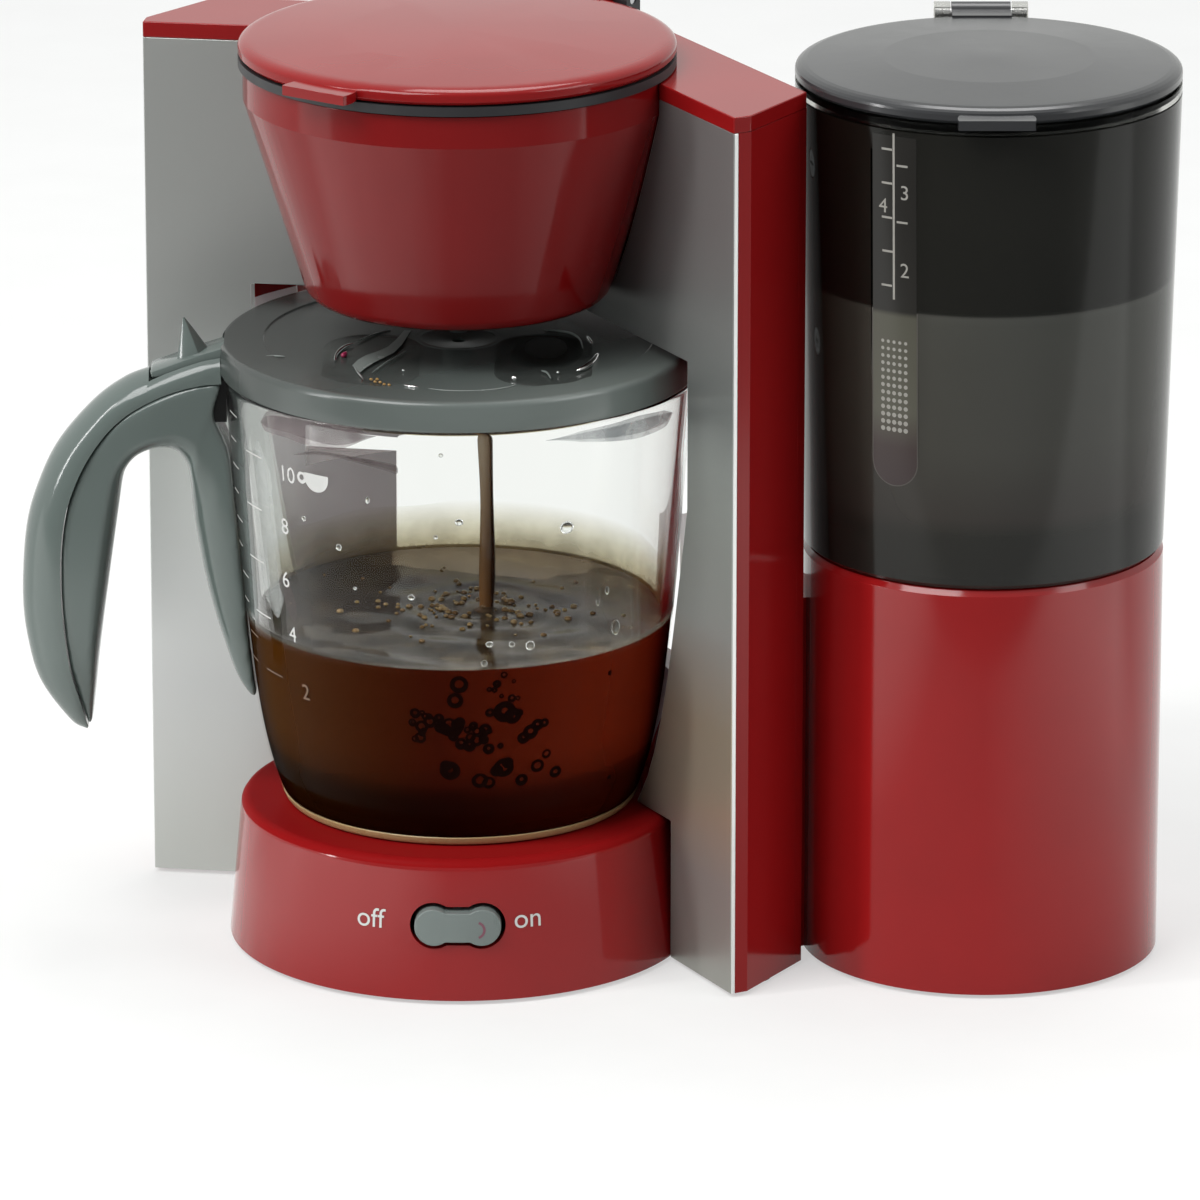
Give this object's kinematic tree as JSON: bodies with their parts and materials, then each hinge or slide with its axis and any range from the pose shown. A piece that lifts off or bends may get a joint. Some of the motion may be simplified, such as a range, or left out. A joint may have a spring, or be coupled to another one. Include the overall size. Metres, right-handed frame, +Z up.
{
  "type": "toy coffee maker",
  "caption": "Toy filter coffee maker: upright housing with a round niche, clear jug on a round base, red filter cone and smoke-grey lift-off water tank.",
  "frame": {"origin": "centre of the bounding box in plan, on the surface that the rubber feet rest on", "axes": "+X to the tank's side, -Y towards the person who uses it, +Z up"},
  "size_m": [0.2128, 0.0962, 0.1734],
  "materials": {
    "red_plastic": "glossy dark red",
    "silver_panel": "satin silver lacquer",
    "grey_plastic": "semi-gloss slate grey",
    "switch_grey": "semi-gloss grey",
    "clear_jug": "clear, glossy",
    "smoke_clear": "smoke grey, transparent",
    "lid_smoke": "glossy charcoal",
    "dark_plastic": "matte",
    "steel": "plain",
    "soft_rubber": "matte",
    "clear_tube": "translucent tube"
  },
  "bodies": {
    "machine": {"housing_shell": "red_plastic", "front_panel": "silver_panel", "back_cover": "red_plastic", "top_cover": "red_plastic", "base_shell": "red_plastic", "base_plate": "dark_plastic", "tank_pedestal": "red_plastic", "pedestal_plate": "dark_plastic", "rubber_feet": "soft_rubber", "case_screws": "steel", "filter_holder": "red_plastic", "valve_retainer": "dark_plastic", "valve_spring": "steel", "water_pipe": "clear_tube", "dock_seal": "soft_rubber", "switch_pin": "steel"},
    "switch": {"switch_rocker": "switch_grey"},
    "valve": {"drip_valve": "grey_plastic"},
    "basket": {"filter_basket": "dark_plastic", "filter_lid_pin": "steel"},
    "basket_lid": {"filter_lid": "red_plastic"},
    "tank": {"tank_sleeve": "smoke_clear", "tank_cup": "smoke_clear", "tank_lid_pin": "steel"},
    "tank_cover": {"tank_lid": "lid_smoke"},
    "jug": {"jug_glass": "clear_jug", "handle_core": "grey_plastic", "handle_shell": "grey_plastic", "hinge_bracket": "grey_plastic", "jug_lid_pin": "steel"},
    "jug_cover": {"jug_lid": "grey_plastic", "lid_lever": "grey_plastic"}
  },
  "joints": [
    {"name": "switch_rock", "type": "hinge", "parent": "machine", "child": "switch", "pos_m": [-0.0254, -0.0392, 0.0149], "axis": [0, 0, 1], "range_deg": [-6, 6]},
    {"name": "valve_lift", "type": "slide", "parent": "machine", "child": "valve", "axis": [0, 0, 1], "range_m": [0, 0.002], "stiffness_N_per_m": 150, "springref_m": -0.002, "deforming": ["valve_spring"]},
    {"name": "basket_lift", "type": "slide", "parent": "machine", "child": "basket", "axis": [0, 0, 1], "range_m": [0, 0.06]},
    {"name": "basket_lid_hinge", "type": "hinge", "parent": "basket", "child": "basket_lid", "pos_m": [-0.00033, 0.03349, 0.1712], "axis": [-0.8181, 0.575, 0], "range_deg": [0, 100]},
    {"name": "tank_lift", "type": "slide", "parent": "machine", "child": "tank", "axis": [0, 0, 1], "range_m": [0, 0.05]},
    {"name": "tank_cover_hinge", "type": "hinge", "parent": "tank", "child": "tank_cover", "pos_m": [0.0712, 0.02992, 0.1682], "axis": [-1, 0, 0], "range_deg": [0, 100]},
    {"name": "jug_out", "type": "slide", "parent": "machine", "child": "jug", "axis": [-0.575, -0.8181, 0], "range_m": [0, 0.12]},
    {"name": "jug_cover_hinge", "type": "hinge", "parent": "jug", "child": "jug_cover", "pos_m": [-0.074, -0.00218, 0.1078], "axis": [0, -1, 0], "range_deg": [0, 1.2]}
  ]
}
